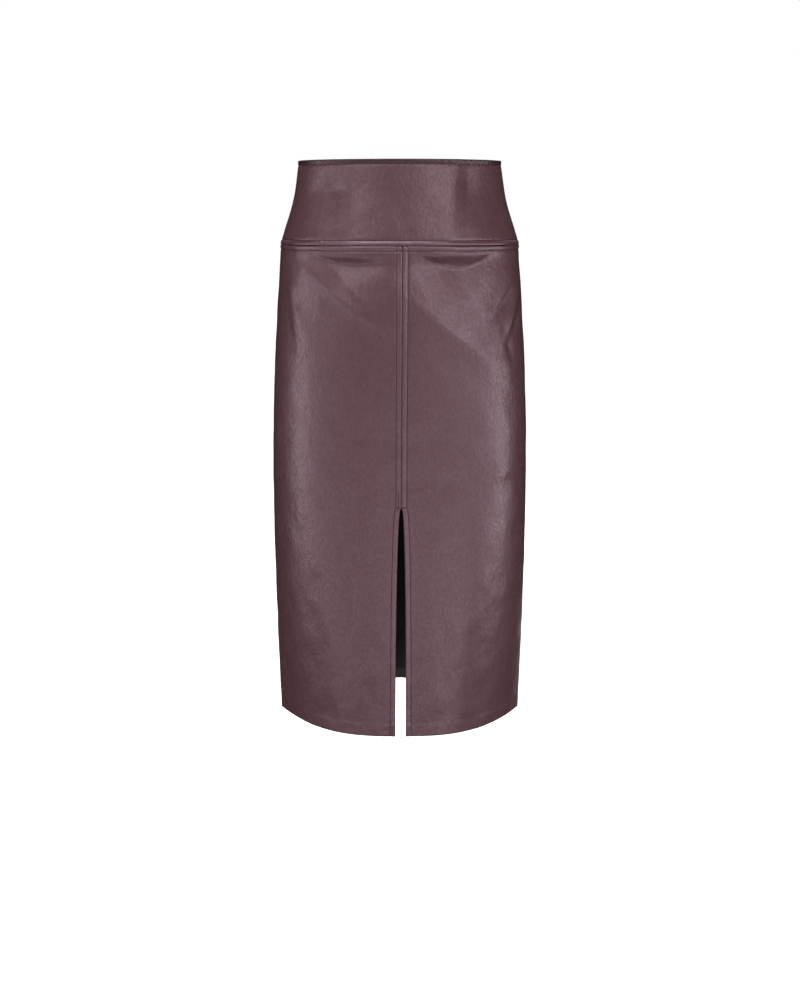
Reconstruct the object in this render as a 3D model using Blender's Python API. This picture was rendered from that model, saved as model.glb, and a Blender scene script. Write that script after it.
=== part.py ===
"""A high-waisted leather pencil skirt, standing open as it is worn.

Metres, +Z up.  The front faces -Y, and left and right are the wearer's, so left is +X.  The origin is
the middle of the waist opening, level with the top edge.  Each cut piece is a wall of cloth that
follows one hollow form: a yoke, two front panels over a centre slit, two back panels under a concealed
zip, and inside them the turned-up hem, the slit's facings, the lining and the zip.
"""

import math
from collections import namedtuple
from functools import lru_cache

import bmesh
import bpy
import numpy as np
from mathutils import Vector

MM = 0.001
FRONT = -1
BACK = 1
LEFT = 1
RIGHT = -1
HANDS = ((LEFT, "left"), (RIGHT, "right"))

# Heights, from the top edge down
TOP = 0.0
YOKE_SEAM = -0.1068
ZIP_END = -0.235
SLIT_TOP = -0.440
HEM = -0.750

# Cloth and seams
LEATHER = 1.4 * MM
LINING = 1.0 * MM
TAPE = 1.0 * MM
GAP = 0.3 * MM
INNER_LAYER = LEATHER + GAP
STITCH_OUT = 6.3 * MM
STITCH_DIP = 0.25 * MM
DIP_WIDTH = 1.6 * MM
SEAM_LIP = 0.8 * MM
EDGE_LIP = 0.4 * MM

# Turned edges, the slit and the zip
HEM_TURN = 17.5 * MM
FACING_WIDTH = 13.0 * MM
SLIT_WIDTH = 13.7 * MM
SLIT_POWER = 1.0 / 3.0
TAPE_WIDTH = 7.5 * MM
TAPE_TOP = -2.0 * MM
LINING_TOP = -2.0 * MM
LINING_FROM_ZIP = 8.0 * MM
CUTAWAY = 6.0 * MM

# Zip slider and pull
PULL_AXIS_Z = -11.0 * MM
PULL_AXIS_OUT = 2.6 * MM
EYE_RADIUS = 2.0 * MM
EYE_HOLE = 0.9 * MM
EYE_THICK = 1.6 * MM
NECK_HEIGHT = 3.0 * MM
SLIDER_WIDTH = 7.0 * MM
SLIDER_HEIGHT = 10.0 * MM
SLIDER_THICK = 2.0 * MM
PARTING = 1.3 * MM
PARTING_REACH = 10.0 * MM
BAR_HALF = 0.55 * MM
BAR_LENGTH = 4.8 * MM
WINDOW_WIDTH = 2.3 * MM
WINDOW_DROP = 2.6 * MM
PULL_WIDTH = 5.6 * MM
PULL_LENGTH = 20.0 * MM

# The hollow form: half width, depth to the front and to the back, and how square the section is.
# A section is (x / half_width) ** square + (y / depth) ** round = 1; round 1 brings front and back
# together in a point at the side seams, as they fall at the hem.
Section = namedtuple("Section", "z half_width front back square round")
SECTIONS = (
    Section(0.0000, 0.1316, 0.0895, 0.0905, 2.05, 2.00),
    Section(-0.0120, 0.1333, 0.0905, 0.0908, 2.05, 2.00),
    Section(-0.0380, 0.1370, 0.0935, 0.0922, 2.08, 2.00),
    Section(-0.0640, 0.1435, 0.0975, 0.0965, 2.10, 2.00),
    Section(-0.0900, 0.1520, 0.1020, 0.1025, 2.12, 2.00),
    Section(-0.1060, 0.1564, 0.1045, 0.1062, 2.14, 2.00),
    Section(-0.1280, 0.1581, 0.1072, 0.1105, 2.15, 2.00),
    Section(-0.1550, 0.1602, 0.1098, 0.1150, 2.16, 2.00),
    Section(-0.2070, 0.1640, 0.1135, 0.1225, 2.18, 1.98),
    Section(-0.2880, 0.1687, 0.1160, 0.1290, 2.20, 1.95),
    Section(-0.3900, 0.1719, 0.1168, 0.1300, 2.24, 1.88),
    Section(-0.4700, 0.1723, 0.1168, 0.1285, 2.34, 1.72),
    Section(-0.5700, 0.1712, 0.1169, 0.1272, 2.54, 1.45),
    Section(-0.6700, 0.1692, 0.1170, 0.1267, 2.76, 1.17),
    Section(-0.7500, 0.1665, 0.1170, 0.1266, 2.90, 1.00),
)

# The centre-front seam hangs a little to the wearer's left, and the slit's middle goes on from it.
Drift = namedtuple("Drift", "z along")
FRONT_DRIFT = (
    Drift(YOKE_SEAM, 3.6 * MM),
    Drift(SLIT_TOP, 2.0 * MM),
    Drift(HEM, 1.1 * MM),
)

# Folds of the leather.  along is the arc length from the centre line to the fold's middle, positive
# to the wearer's left; turn is its direction from the horizontal, anticlockwise from outside.
Fold = namedtuple("Fold", "side along z turn length above below rise")
FOLDS = (
    # drag hollows that hang from the yoke seam
    Fold(FRONT, -66 * MM, -0.1290, -3, 46 * MM, 7 * MM, 16 * MM, -2.4 * MM),
    Fold(FRONT, 64 * MM, -0.1285, 2, 54 * MM, 7 * MM, 16 * MM, -2.4 * MM),
    Fold(BACK, -62 * MM, -0.1300, 4, 44 * MM, 7 * MM, 18 * MM, -2.0 * MM),
    Fold(BACK, 70 * MM, -0.1290, -5, 50 * MM, 7 * MM, 16 * MM, -2.2 * MM),
    # slanting ridges over the stomach and the seat
    Fold(FRONT, -64 * MM, -0.1720, -35, 62 * MM, 26 * MM, 15 * MM, 1.8 * MM),
    Fold(FRONT, 66 * MM, -0.2120, -38, 74 * MM, 34 * MM, 17 * MM, 2.2 * MM),
    Fold(BACK, -80 * MM, -0.1980, 36, 66 * MM, 30 * MM, 18 * MM, 1.8 * MM),
    Fold(BACK, 74 * MM, -0.2300, -30, 60 * MM, 30 * MM, 20 * MM, 1.6 * MM),
    # soft upright folds in the yoke
    Fold(FRONT, 68 * MM, -0.0480, 82, 44 * MM, 17 * MM, 9 * MM, 1.3 * MM),
    Fold(FRONT, -62 * MM, -0.0620, 97, 48 * MM, 15 * MM, 20 * MM, 1.0 * MM),
    Fold(FRONT, 2 * MM, -0.0600, 90, 52 * MM, 20 * MM, 20 * MM, -1.0 * MM),
    Fold(BACK, -56 * MM, -0.0520, 96, 42 * MM, 14 * MM, 16 * MM, 1.1 * MM),
    Fold(BACK, 52 * MM, -0.0600, 84, 46 * MM, 16 * MM, 12 * MM, 1.0 * MM),
    # short pulls at the hips
    Fold(FRONT, -142 * MM, -0.1960, -68, 34 * MM, 10 * MM, 9 * MM, 1.5 * MM),
    Fold(FRONT, 152 * MM, -0.2020, 66, 32 * MM, 9 * MM, 9 * MM, -1.6 * MM),
    Fold(BACK, -150 * MM, -0.2050, 64, 34 * MM, 9 * MM, 10 * MM, -1.4 * MM),
    Fold(BACK, 146 * MM, -0.1920, -66, 32 * MM, 10 * MM, 9 * MM, 1.4 * MM),
    # long shallow falls from the hip to the hem
    Fold(FRONT, -100 * MM, -0.5600, 100, 130 * MM, 24 * MM, 26 * MM, 1.5 * MM),
    Fold(FRONT, 98 * MM, -0.5900, 78, 130 * MM, 26 * MM, 24 * MM, 1.5 * MM),
    Fold(BACK, -84 * MM, -0.5400, 96, 140 * MM, 26 * MM, 28 * MM, 1.6 * MM),
    Fold(BACK, 92 * MM, -0.5800, 83, 130 * MM, 28 * MM, 24 * MM, 1.6 * MM),
)
SIDE_FADE = 22.0 * MM

# How deep inside the leather's outer face the lining hangs: free of the folds, but close at its ends
Hang = namedtuple("Hang", "z depth")
LINING_HANG = (
    Hang(TOP, 2.2 * MM),
    Hang(-0.030, 4.4 * MM),
    Hang(-0.700, 4.4 * MM),
    Hang(HEM + HEM_TURN, INNER_LAYER),
)

# Rows of points down each piece, and columns across it
YOKE_ROWS = (0.0, -2.8, -6.3, -9.0, -22.0, -38.0, -54.0, -70.0, -86.0, -97.5, -100.5, -103.6)
ZIP_ROWS = (0.0, -2.8, -6.3, -9.0, -13.0, -17.0, -22.0, -38.0, -54.0, -70.0, -86.0, -97.5, -100.5, -103.6)
PANEL_TOP_ROWS = (-110.0, -113.1, -117.0, -123.0, -130.0, -139.0, -152.0, -168.0, -187.0, -208.0)
FRONT_LOW_ROWS = (-232.0, -260.0, -300.0, -345.0, -395.0, -440.0, -443.0, -449.0, -462.0,
                  -490.0, -530.0, -580.0, -630.0, -680.0, -731.0)
BACK_LOW_ROWS = (-235.0, -270.0, -320.0, -380.0, -440.0, -500.0, -560.0, -620.0, -680.0, -731.0)
FRONT_LINING_ROWS = (-18.0, -38.0, -72.0, -104.0, -115.0, -150.0, -210.0, -290.0, -370.0, -434.0,
                     -440.0, -520.0, -610.0, -700.0)
BACK_LINING_ROWS = (-18.0, -38.0, -72.0, -104.0, -115.0, -150.0, -205.0, -235.0, -241.0, -310.0,
                    -400.0, -500.0, -600.0, -700.0)
FACING_ROWS = (-449.0, -462.0, -490.0, -530.0, -580.0, -630.0, -680.0, -731.0)
SEAM_COLUMNS = (0.0, 3.1 * MM, 6.6 * MM, 9.6 * MM)
PANEL_SPANS = 10
BACK_SPANS = 8
YOKE_SPANS = 22

LEATHER_COLOR = (0.085, 0.034, 0.040)
LINING_COLOR = (0.010, 0.010, 0.011)
TAPE_COLOR = (0.045, 0.018, 0.021)
METAL_COLOR = (0.060, 0.026, 0.030)


def clear_scene():
    """Start from an empty scene."""
    for obj in list(bpy.data.objects):
        bpy.data.objects.remove(obj, do_unlink=True)


def make_material(name, color, roughness, metallic=0.0):
    """A plain Principled finish."""
    material = bpy.data.materials.new(name)
    material.use_nodes = True
    shader = material.node_tree.nodes["Principled BSDF"]
    shader.inputs["Base Color"].default_value = (*color, 1.0)
    shader.inputs["Roughness"].default_value = roughness
    shader.inputs["Metallic"].default_value = metallic
    return material


def smooth_value(z, heights, values):
    """A cubic through the rows that doesn't overshoot between them; heights fall."""
    steps = np.diff(heights)
    slopes = np.diff(values) / steps
    tangents = np.concatenate((slopes[:1], np.zeros(len(slopes) - 1), slopes[-1:]))
    for i in range(1, len(slopes)):
        before, after = slopes[i - 1], slopes[i]
        if before * after > 0:
            tangents[i] = 2 * before * after / (before + after)
    i = int(np.clip(np.searchsorted(-heights, -z) - 1, 0, len(steps) - 1))
    t = (z - heights[i]) / steps[i]
    return ((1 + 2 * t) * (1 - t) ** 2 * values[i] + t * (1 - t) ** 2 * steps[i] * tangents[i]
            + t * t * (3 - 2 * t) * values[i + 1] + t * t * (t - 1) * steps[i] * tangents[i + 1])


def section_at(z):
    """The hollow form's section at a height."""
    columns = np.array(SECTIONS).T
    return Section(z, *(smooth_value(z, columns[0], column) for column in columns[1:]))


@lru_cache(maxsize=None)
def quarter(side, z):
    """A quarter section from the centre line to the side seam: x, y, outward normal, arc length."""
    section = section_at(z)
    depth = section.front if side == FRONT else section.back
    angle = np.linspace(0.0, math.pi / 2, 361)
    x = section.half_width * np.sin(angle) ** (2 / section.square)
    y = depth * np.clip(np.cos(angle), 0.0, 1.0) ** (2 / section.round)
    arc = np.concatenate(([0.0], np.cumsum(np.hypot(np.diff(x), np.diff(y)))))
    along = np.linspace(0.0, arc[-1], 241)
    x = np.interp(along, arc, x)
    y = np.interp(along, arc, y)
    dx = np.gradient(x, along)
    dy = np.gradient(y, along)
    size = np.hypot(dx, dy)
    return x, y, -dy / size, dx / size, along


def side_length(side, z):
    """Arc length from the centre line to the side seam's gap."""
    return float(quarter(side, z)[4][-1]) - GAP / 2


def fold_rise(side, along, z):
    """How far the folds lift the leather, fading out at the side seams."""
    rise = 0.0
    for fold in FOLDS:
        if fold.side != side:
            continue
        turn = math.radians(fold.turn)
        du, dv = along - fold.along, z - fold.z
        u = (du * math.cos(turn) + dv * math.sin(turn)) / fold.length
        v = -du * math.sin(turn) + dv * math.cos(turn)
        v /= fold.above if v > 0 else fold.below
        rise += fold.rise * math.exp(-u * u - v * v)
    room = (side_length(side, z) - abs(along)) / SIDE_FADE
    return rise * (1 - math.exp(-room * room))


def stitched_lip(distance, height):
    """Relief of leather turned under an edge and stitched down beside it."""
    swell = height * math.sin(math.pi * distance / STITCH_OUT) if distance < STITCH_OUT else 0.0
    return swell - STITCH_DIP * math.exp(-((distance - STITCH_OUT) / DIP_WIDTH) ** 2)


def front_drift(z):
    """Where the centre-front seam or the slit's middle lies, as an arc length."""
    heights = [-row.z for row in FRONT_DRIFT]
    return float(np.interp(-z, heights, [row.along for row in FRONT_DRIFT]))


def slit_half(z):
    """Half the space between the front panels."""
    drop = max(SLIT_TOP - z, 0.0) / (SLIT_TOP - HEM)
    return max(GAP, SLIT_WIDTH * drop ** SLIT_POWER) / 2


def front_edge(hand, z):
    """Arc length of a front panel's centre edge."""
    return front_drift(z) + hand * slit_half(z)


def zip_edge(hand, z):
    """Arc length of a back piece's centre edge, which parts round the slider's neck."""
    reach = min(abs(z - PULL_AXIS_Z) / PARTING_REACH, 1.0)
    return hand * (GAP / 2 + PARTING * math.cos(math.pi / 2 * reach) ** 2)


def lining_depth(z):
    """How deep the lining's outer face hangs."""
    return float(np.interp(-z, [-row.z for row in LINING_HANG], [row.depth for row in LINING_HANG]))


def surface_point(side, along, z, shift):
    """A point of the cloth, shifted outwards; walls are mitred at the side seams."""
    x, y, normal_x, normal_y, arc = quarter(side, z)
    distance = abs(along)
    hand = 1 if along >= 0 else -1
    out_x = np.interp(distance, arc, normal_x)
    out_y = np.interp(distance, arc, normal_y)
    px = np.interp(distance, arc, x)
    py = np.interp(distance, arc, y)
    if distance >= side_length(side, z) - MM / 100:
        return Vector((hand * (px + shift / out_x), side * GAP / 2, z))
    return Vector((hand * (px + shift * out_x), side * (py + shift * out_y), z))


def make_wall(name, side, rows, columns, shifts, material):
    """A closed wall of cloth over a grid of rows (heights) and columns (arc lengths).

    shifts holds two functions of arc length and height, for the outer and the inner face.
    """
    mesh = bmesh.new()
    skins = []
    for shift in shifts:
        skin = [[mesh.verts.new(surface_point(side, along, z, shift(along, z))) for along in columns(z)]
                for z in rows]
        skins.append(skin)
    outside, inside = skins
    tall, wide = len(outside) - 1, len(outside[0]) - 1
    for skin in skins:
        for r in range(tall):
            for c in range(wide):
                mesh.faces.new((skin[r][c], skin[r + 1][c], skin[r + 1][c + 1], skin[r][c + 1]))
    rim = [(0, c) for c in range(wide)] + [(r, wide) for r in range(tall)]
    rim += [(tall, c) for c in range(wide, 0, -1)] + [(r, 0) for r in range(tall, 0, -1)]
    for (r0, c0), (r1, c1) in zip(rim, rim[1:] + rim[:1]):
        mesh.faces.new((outside[r0][c0], outside[r1][c1], inside[r1][c1], inside[r0][c0]))
    bmesh.ops.recalc_face_normals(mesh, faces=mesh.faces)
    return finish_mesh(name, mesh, material)


def finish_mesh(name, mesh, material):
    """Turn a bmesh into a named, shaded object."""
    data = bpy.data.meshes.new(name)
    mesh.to_mesh(data)
    mesh.free()
    data.shade_smooth()
    data.set_sharp_from_angle(angle=math.radians(35))
    data.materials.append(material)
    obj = bpy.data.objects.new(name, data)
    bpy.context.collection.objects.link(obj)
    return obj


def heights(*millimetres):
    """Heights in metres from millimetres."""
    return tuple(value * MM for value in millimetres)


def spread(near, far, spans):
    """Evenly spaced columns between two arc lengths."""
    return [float(value) for value in np.linspace(near, far, spans + 1)]


def half_columns(side, hand, edge, spans, near, z):
    """Columns of a half piece at a height: those near its centre edge, then even to the side seam."""
    first = edge(hand, z) + hand * SEAM_COLUMNS[-1]
    far = spread(first, hand * side_length(side, z), spans)[1:]
    return [edge(hand, z) + hand * step for step in near] + far


def panel_columns(side, hand, edge, spans, near=SEAM_COLUMNS):
    """Columns for every height of a half piece."""
    def columns(z):
        return half_columns(side, hand, edge, spans, near, z)
    return columns


def folded(side, depth, relief=None):
    """The shift of a face that follows the folds, depth inside the outer face."""
    def shift(along, z):
        lift = relief(along, z) if relief else 0.0
        return fold_rise(side, along, z) - depth + lift
    return shift


def hanging(depth):
    """The shift of a lining face, which hangs free of the folds."""
    def shift(along, z):
        return -lining_depth(z) - depth
    return shift


def yoke_relief(along, z):
    """Lips along the top edge and the yoke seam."""
    return stitched_lip(TOP - z, EDGE_LIP) + stitched_lip(z - YOKE_SEAM, SEAM_LIP)


def front_relief(hand):
    """Lips along the yoke seam, the centre-front seam and the slit."""
    def relief(along, z):
        distance = hand * (along - front_edge(hand, z))
        return stitched_lip(YOKE_SEAM - z, SEAM_LIP) + stitched_lip(distance, EDGE_LIP)
    return relief


def back_relief(along, z):
    """A lip along the yoke seam."""
    return stitched_lip(YOKE_SEAM - z, SEAM_LIP)


def make_yoke(leather):
    """The shaped yoke: one piece in front, two behind."""
    low = (YOKE_SEAM + GAP / 2,)

    def across(z):
        return spread(-side_length(FRONT, z), side_length(FRONT, z), YOKE_SPANS)

    shifts = (folded(FRONT, 0.0, yoke_relief), folded(FRONT, LEATHER))
    make_wall("yoke_front", FRONT, heights(*YOKE_ROWS) + low, across, shifts, leather)
    shifts = (folded(BACK, 0.0, yoke_relief), folded(BACK, LEATHER))
    for hand, word in HANDS:
        columns = panel_columns(BACK, hand, zip_edge, BACK_SPANS)
        make_wall(f"yoke_back_{word}", BACK, heights(*ZIP_ROWS) + low, columns, shifts, leather)


def make_panels(leather):
    """The skirt's front and back panels."""
    top = (YOKE_SEAM - GAP / 2,) + heights(*PANEL_TOP_ROWS)
    for hand, word in HANDS:
        shifts = (folded(FRONT, 0.0, front_relief(hand)), folded(FRONT, LEATHER))
        columns = panel_columns(FRONT, hand, front_edge, PANEL_SPANS)
        make_wall(f"front_{word}", FRONT, top + heights(*FRONT_LOW_ROWS) + (HEM,), columns, shifts,
                  leather)
        shifts = (folded(BACK, 0.0, back_relief), folded(BACK, LEATHER))
        columns = panel_columns(BACK, hand, zip_edge, BACK_SPANS)
        make_wall(f"back_{word}", BACK, top + heights(*BACK_LOW_ROWS) + (HEM,), columns, shifts,
                  leather)


def make_turnings(leather):
    """The leather turned up at the hem and in along the slit."""
    rows = (HEM + HEM_TURN - GAP, HEM + HEM_TURN / 2, HEM)
    front_shifts = (folded(FRONT, INNER_LAYER), folded(FRONT, INNER_LAYER + LEATHER))
    back_shifts = (folded(BACK, INNER_LAYER), folded(BACK, INNER_LAYER + LEATHER))
    for hand, word in HANDS:
        def facing_columns(z, hand=hand):
            near = front_edge(hand, z) + hand * GAP
            return spread(near, near + hand * FACING_WIDTH, 2)

        make_wall(f"slit_facing_{word}", FRONT, (SLIT_TOP,) + heights(*FACING_ROWS) + (HEM,),
                  facing_columns, front_shifts, leather)
        columns = panel_columns(FRONT, hand, front_edge, PANEL_SPANS, (FACING_WIDTH + 2 * GAP,))
        make_wall(f"hem_front_{word}", FRONT, rows, columns, front_shifts, leather)
        columns = panel_columns(BACK, hand, zip_edge, BACK_SPANS)
        make_wall(f"hem_back_{word}", BACK, rows, columns, back_shifts, leather)


def make_lining(cloth):
    """The lining, cut away round the slit's facings and the zip."""
    shifts = (hanging(0.0), hanging(LINING))
    low = (HEM + HEM_TURN,)
    for hand, word in HANDS:
        def front_columns(z, hand=hand):
            start = FACING_WIDTH + 2 * GAP if z < SLIT_TOP + CUTAWAY - GAP else 0.0
            return half_columns(FRONT, hand, front_edge, PANEL_SPANS, (start,), z)

        def back_columns(z, hand=hand):
            start = LINING_FROM_ZIP if z > ZIP_END - GAP else 0.0
            return half_columns(BACK, hand, zip_edge, BACK_SPANS, (start,), z)

        make_wall(f"lining_front_{word}", FRONT, (LINING_TOP,) + heights(*FRONT_LINING_ROWS) + low,
                  front_columns, shifts, cloth)
        make_wall(f"lining_back_{word}", BACK, (LINING_TOP,) + heights(*BACK_LINING_ROWS) + low,
                  back_columns, shifts, cloth)


def make_tapes(cloth):
    """The zip's two tapes, side by side behind the centre-back seam."""
    yoke_rows = (TAPE_TOP,) + heights(*ZIP_ROWS[2:])
    rows = yoke_rows + heights(*PANEL_TOP_ROWS) + (ZIP_END + GAP,)
    shifts = (folded(BACK, INNER_LAYER), folded(BACK, INNER_LAYER + TAPE))
    for hand, word in HANDS:
        def columns(z, hand=hand):
            return [zip_edge(hand, z), hand * TAPE_WIDTH]

        make_wall(f"zip_tape_{word}", BACK, rows, columns, shifts, cloth)


def make_box(name, low, high, material=None):
    """A box between two corners."""
    mesh = bmesh.new()
    bmesh.ops.create_cube(mesh, size=1.0)
    size = Vector(high) - Vector(low)
    bmesh.ops.scale(mesh, vec=size, verts=mesh.verts)
    bmesh.ops.translate(mesh, vec=(Vector(high) + Vector(low)) / 2, verts=mesh.verts)
    return finish_mesh(name, mesh, material)


def make_disc(name, centre, radius, thick, sides, material=None):
    """A round plate that lies across X."""
    mesh = bmesh.new()
    bmesh.ops.create_cone(mesh, cap_ends=True, segments=sides, radius1=radius, radius2=radius,
                          depth=thick)
    turn = Vector((0, 0, 1)).rotation_difference(Vector((1, 0, 0))).to_matrix()
    bmesh.ops.rotate(mesh, cent=(0, 0, 0), matrix=turn, verts=mesh.verts)
    bmesh.ops.translate(mesh, vec=centre, verts=mesh.verts)
    return finish_mesh(name, mesh, material)


def combine(obj, tool, operation):
    """Join a hidden tool to an object, or cut it away."""
    tool.hide_render = True
    tool.display_type = 'WIRE'
    modifier = obj.modifiers.new(operation.lower(), 'BOOLEAN')
    modifier.operation = operation
    modifier.object = tool


def soften(obj, width):
    """Take the sharpness off a hard piece's edges."""
    modifier = obj.modifiers.new("edges", 'BEVEL')
    modifier.width = width
    modifier.segments = 1
    modifier.angle_limit = math.radians(50)


def make_slider(metal, axis):
    """The slider: a body behind the tapes, and a neck that passes between the edges to an eye."""
    skin_y = axis.y - PULL_AXIS_OUT
    near = skin_y - INNER_LAYER - TAPE - GAP
    half = EYE_THICK / 2
    slider = make_disc("zip_slider", axis, EYE_RADIUS, EYE_THICK, 20, metal)
    neck = make_box("slider_neck", (-half, near - SLIDER_THICK / 2, axis.z - NECK_HEIGHT / 2),
                    (half, axis.y - EYE_HOLE, axis.z + NECK_HEIGHT / 2), metal)
    body = make_box("slider_body", (-SLIDER_WIDTH / 2, near - SLIDER_THICK, axis.z - SLIDER_HEIGHT / 2),
                    (SLIDER_WIDTH / 2, near, axis.z + SLIDER_HEIGHT / 2), metal)
    hole = make_disc("slider_hole", axis, EYE_HOLE, EYE_THICK * 2, 16, metal)
    soften(body, 0.5 * MM)
    combine(slider, neck, 'UNION')
    combine(slider, body, 'UNION')
    combine(slider, hole, 'DIFFERENCE')


def make_pull(metal, axis):
    """The pull: a thin tab that hangs from a bar through the slider's eye."""
    half = PULL_WIDTH / 2
    end = axis.z - PULL_LENGTH
    shoulder = BAR_LENGTH / 2
    outline = [(shoulder, axis.z + BAR_HALF), (-shoulder, axis.z + BAR_HALF),
               (-shoulder, axis.z - WINDOW_DROP)]
    for step in range(9):
        angle = math.pi * step / 8
        outline.append((-half * math.cos(angle), end + half - half * math.sin(angle)))
    outline.append((shoulder, axis.z - WINDOW_DROP))
    mesh = bmesh.new()
    ring = [mesh.verts.new((x, axis.y - BAR_HALF, z)) for x, z in outline]
    face = mesh.faces.new(ring)
    made = bmesh.ops.extrude_face_region(mesh, geom=[face])
    moved = [item for item in made["geom"] if isinstance(item, bmesh.types.BMVert)]
    bmesh.ops.translate(mesh, vec=(0, 2 * BAR_HALF, 0), verts=moved)
    bmesh.ops.recalc_face_normals(mesh, faces=mesh.faces)
    pull = finish_mesh("zip_pull", mesh, metal)
    window = make_box("pull_window",
                      (-WINDOW_WIDTH / 2, axis.y - 2 * BAR_HALF, axis.z - WINDOW_DROP),
                      (WINDOW_WIDTH / 2, axis.y + 2 * BAR_HALF, axis.z - BAR_HALF), metal)
    combine(pull, window, 'DIFFERENCE')
    soften(pull, 0.2 * MM)


def make_zip(cloth, metal):
    """The concealed zip, closed, with its slider at the top."""
    make_tapes(cloth)
    axis = Vector((0.0, section_at(PULL_AXIS_Z).back + PULL_AXIS_OUT, PULL_AXIS_Z))
    make_slider(metal, axis)
    make_pull(metal, axis)


def main():
    """Build the skirt."""
    clear_scene()
    leather = make_material("leather", LEATHER_COLOR, 0.38)
    lining = make_material("lining", LINING_COLOR, 0.6)
    tape = make_material("zip_tape", TAPE_COLOR, 0.8)
    metal = make_material("zip_metal", METAL_COLOR, 0.35, 0.6)
    make_yoke(leather)
    make_panels(leather)
    make_turnings(leather)
    make_lining(lining)
    make_zip(tape, metal)


main()
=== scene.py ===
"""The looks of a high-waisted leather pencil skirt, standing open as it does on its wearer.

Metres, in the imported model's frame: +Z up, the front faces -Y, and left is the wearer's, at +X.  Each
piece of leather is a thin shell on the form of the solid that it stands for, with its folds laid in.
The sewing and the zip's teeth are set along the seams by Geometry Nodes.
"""

import math
from collections import namedtuple
from functools import lru_cache

import bpy
import numpy as np
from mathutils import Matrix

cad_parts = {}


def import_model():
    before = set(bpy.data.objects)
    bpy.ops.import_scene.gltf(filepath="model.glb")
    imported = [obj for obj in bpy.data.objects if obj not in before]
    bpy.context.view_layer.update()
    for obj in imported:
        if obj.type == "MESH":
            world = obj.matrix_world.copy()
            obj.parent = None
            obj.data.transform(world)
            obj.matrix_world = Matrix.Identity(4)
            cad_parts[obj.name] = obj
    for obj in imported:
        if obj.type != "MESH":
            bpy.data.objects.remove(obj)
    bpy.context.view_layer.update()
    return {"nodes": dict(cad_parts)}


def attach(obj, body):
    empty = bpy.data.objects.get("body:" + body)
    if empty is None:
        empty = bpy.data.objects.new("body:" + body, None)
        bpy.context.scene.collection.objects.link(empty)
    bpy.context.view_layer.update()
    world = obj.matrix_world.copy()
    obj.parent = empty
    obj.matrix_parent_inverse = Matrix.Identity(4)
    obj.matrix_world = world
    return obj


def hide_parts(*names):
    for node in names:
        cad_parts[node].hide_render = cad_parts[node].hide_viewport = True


MM = 0.001
FRONT = -1
BACK = 1
LEFT = 1
RIGHT = -1
HANDS = ((LEFT, "left"), (RIGHT, "right"))

# Heights, from the top edge down
TOP = 0.0
YOKE_SEAM = -0.1068
ZIP_END = -0.235
SLIT_TOP = -0.440
HEM = -0.750

# Cloth and seams
LEATHER = 1.4 * MM
LINING = 1.0 * MM
TAPE = 1.0 * MM
GAP = 0.3 * MM
INNER_LAYER = LEATHER + GAP
STITCH_OUT = 6.3 * MM
CENTRE_STITCH_OUT = 6.9 * MM
STITCH_DIP = 0.50 * MM
DIP_WIDTH = 1.2 * MM
SEAM_LIP = 0.8 * MM
LIP_SKEW = 0.6
CENTRE_LIP = 0.6 * MM
EDGE_LIP = 0.12 * MM
TOP_FLARE = 0.8 * MM
HEM_STEP = 0.22 * MM
HEM_STEP_REACH = 1.6 * MM
CALM_REACH = 30.0 * MM
PUCKER_PITCH = 7.5 * MM
PUCKER_START = 1.2 * MM
PUCKER_FADE = 3.0 * MM

# Turned edges, the slit and the zip
HEM_TURN = 17.5 * MM
TURN_ABOVE_HEM = 2.0 * MM
FACING_WIDTH = 13.0 * MM
SLIT_WIDTH = 13.7 * MM
SLIT_POWER = 1.0 / 3.0
SLIT_BELLY = 1.15 * MM
BELLY_POWER = 0.8
TAPE_WIDTH = 7.5 * MM
TAPE_TOP = -2.0 * MM
LINING_TOP = -2.0 * MM
LINING_FROM_ZIP = 8.0 * MM
INNER_SEAM_SIDE = 2.0 * MM
CUTAWAY = 6.0 * MM
PULL_AXIS_Z = -11.0 * MM
PARTING = 1.3 * MM
PARTING_REACH = 10.0 * MM
SLIDER_REACH = 6.0 * MM

# Sewing
STITCH_PITCH = 2.5 * MM
STITCH_LENGTH = 1.5 * MM
THREAD = 0.7 * MM
# size of the dark domes of painted shadow in each needle hole
HOLE = 1.5 * MM
HOLE_DOME = 0.6 * MM
ROW_END = 1.2 * MM
TOP_ROW_FROM_ZIP = 3.0 * MM
CENTRE_ROW_FROM_YOKE = 1.5 * MM
CENTRE_ROW_ABOVE_HEM = 2.4 * MM
TACK_Z = -0.4386
TACK_HALF = 8.2 * MM
TACK_PITCH = 0.5 * MM
TACK_HEIGHT = 1.7 * MM
TACK_LIFT = 0.3 * MM
TACK_LOWEST = -0.1 * MM
BACKSTITCH_TOP = -0.419
BACKSTITCH_OUT = 3.5 * MM
TOOTH_PITCH = 1.25 * MM
TOOTH_LENGTH = 2.6 * MM
TOOTH_THICK = 0.7 * MM
TOOTH_SINK = 0.1 * MM
TEETH_TOP = TAPE_TOP - 0.6 * MM
COIL_OUT = 1.5 * MM
STOP_PITCH = 1.3 * MM
STOP_WIDTH = 3.4 * MM
STOP_THICK = 1.2 * MM
STOP_SINK = -0.2 * MM
STOPS_TOP = TAPE_TOP - 0.8 * MM
STOPS_ABOVE_PULL = SLIDER_REACH - 1.6 * MM

# Steps between the points of the sewn paths
LEVEL_STEP = 1.2 * MM
UPRIGHT_STEP = 1.5 * MM
TACK_STEP = 0.8 * MM
STOP_STEP = 0.4 * MM
TOOTH_STEP = 2.0 * MM

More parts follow.
